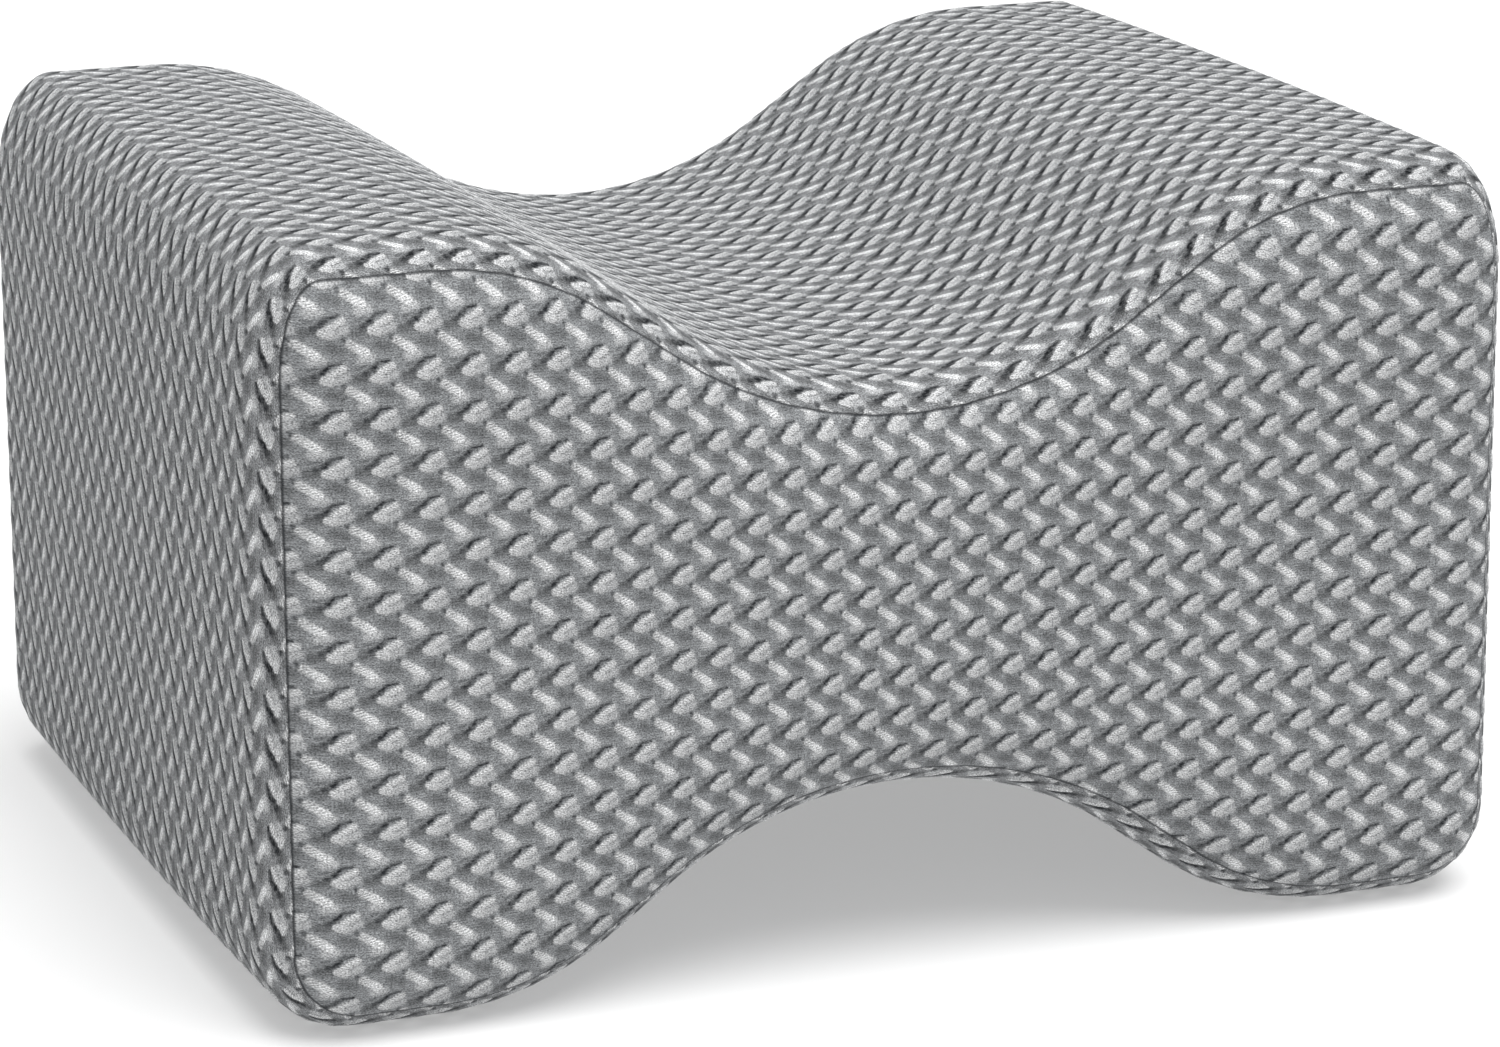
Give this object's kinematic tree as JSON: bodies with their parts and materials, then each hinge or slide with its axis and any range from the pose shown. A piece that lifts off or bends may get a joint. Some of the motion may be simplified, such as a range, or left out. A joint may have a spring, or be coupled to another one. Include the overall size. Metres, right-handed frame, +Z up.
{
  "type": "knee pillow",
  "caption": "Hourglass foam knee pillow in a sewn raised-knit cover: an hourglass panel at each end and a boxing band all round, with a knee hollow on top and an arch below.",
  "frame": {"origin": "on the floor under the middle of the cushion", "axes": "+Z up, X along the hourglass outline, Y through the depth from the front panel (-Y) to the back panel (+Y)"},
  "size_m": [0.2566, 0.214, 0.1508],
  "materials": {
    "band_knit": "matte grey knit with raised slanted puffs",
    "panel_knit": "matte grey knit with raised slanted puffs"
  },
  "bodies": {
    "root": {"boxing_band": "band_knit", "front_panel": "panel_knit", "back_panel": "panel_knit"}
  },
  "joints": []
}
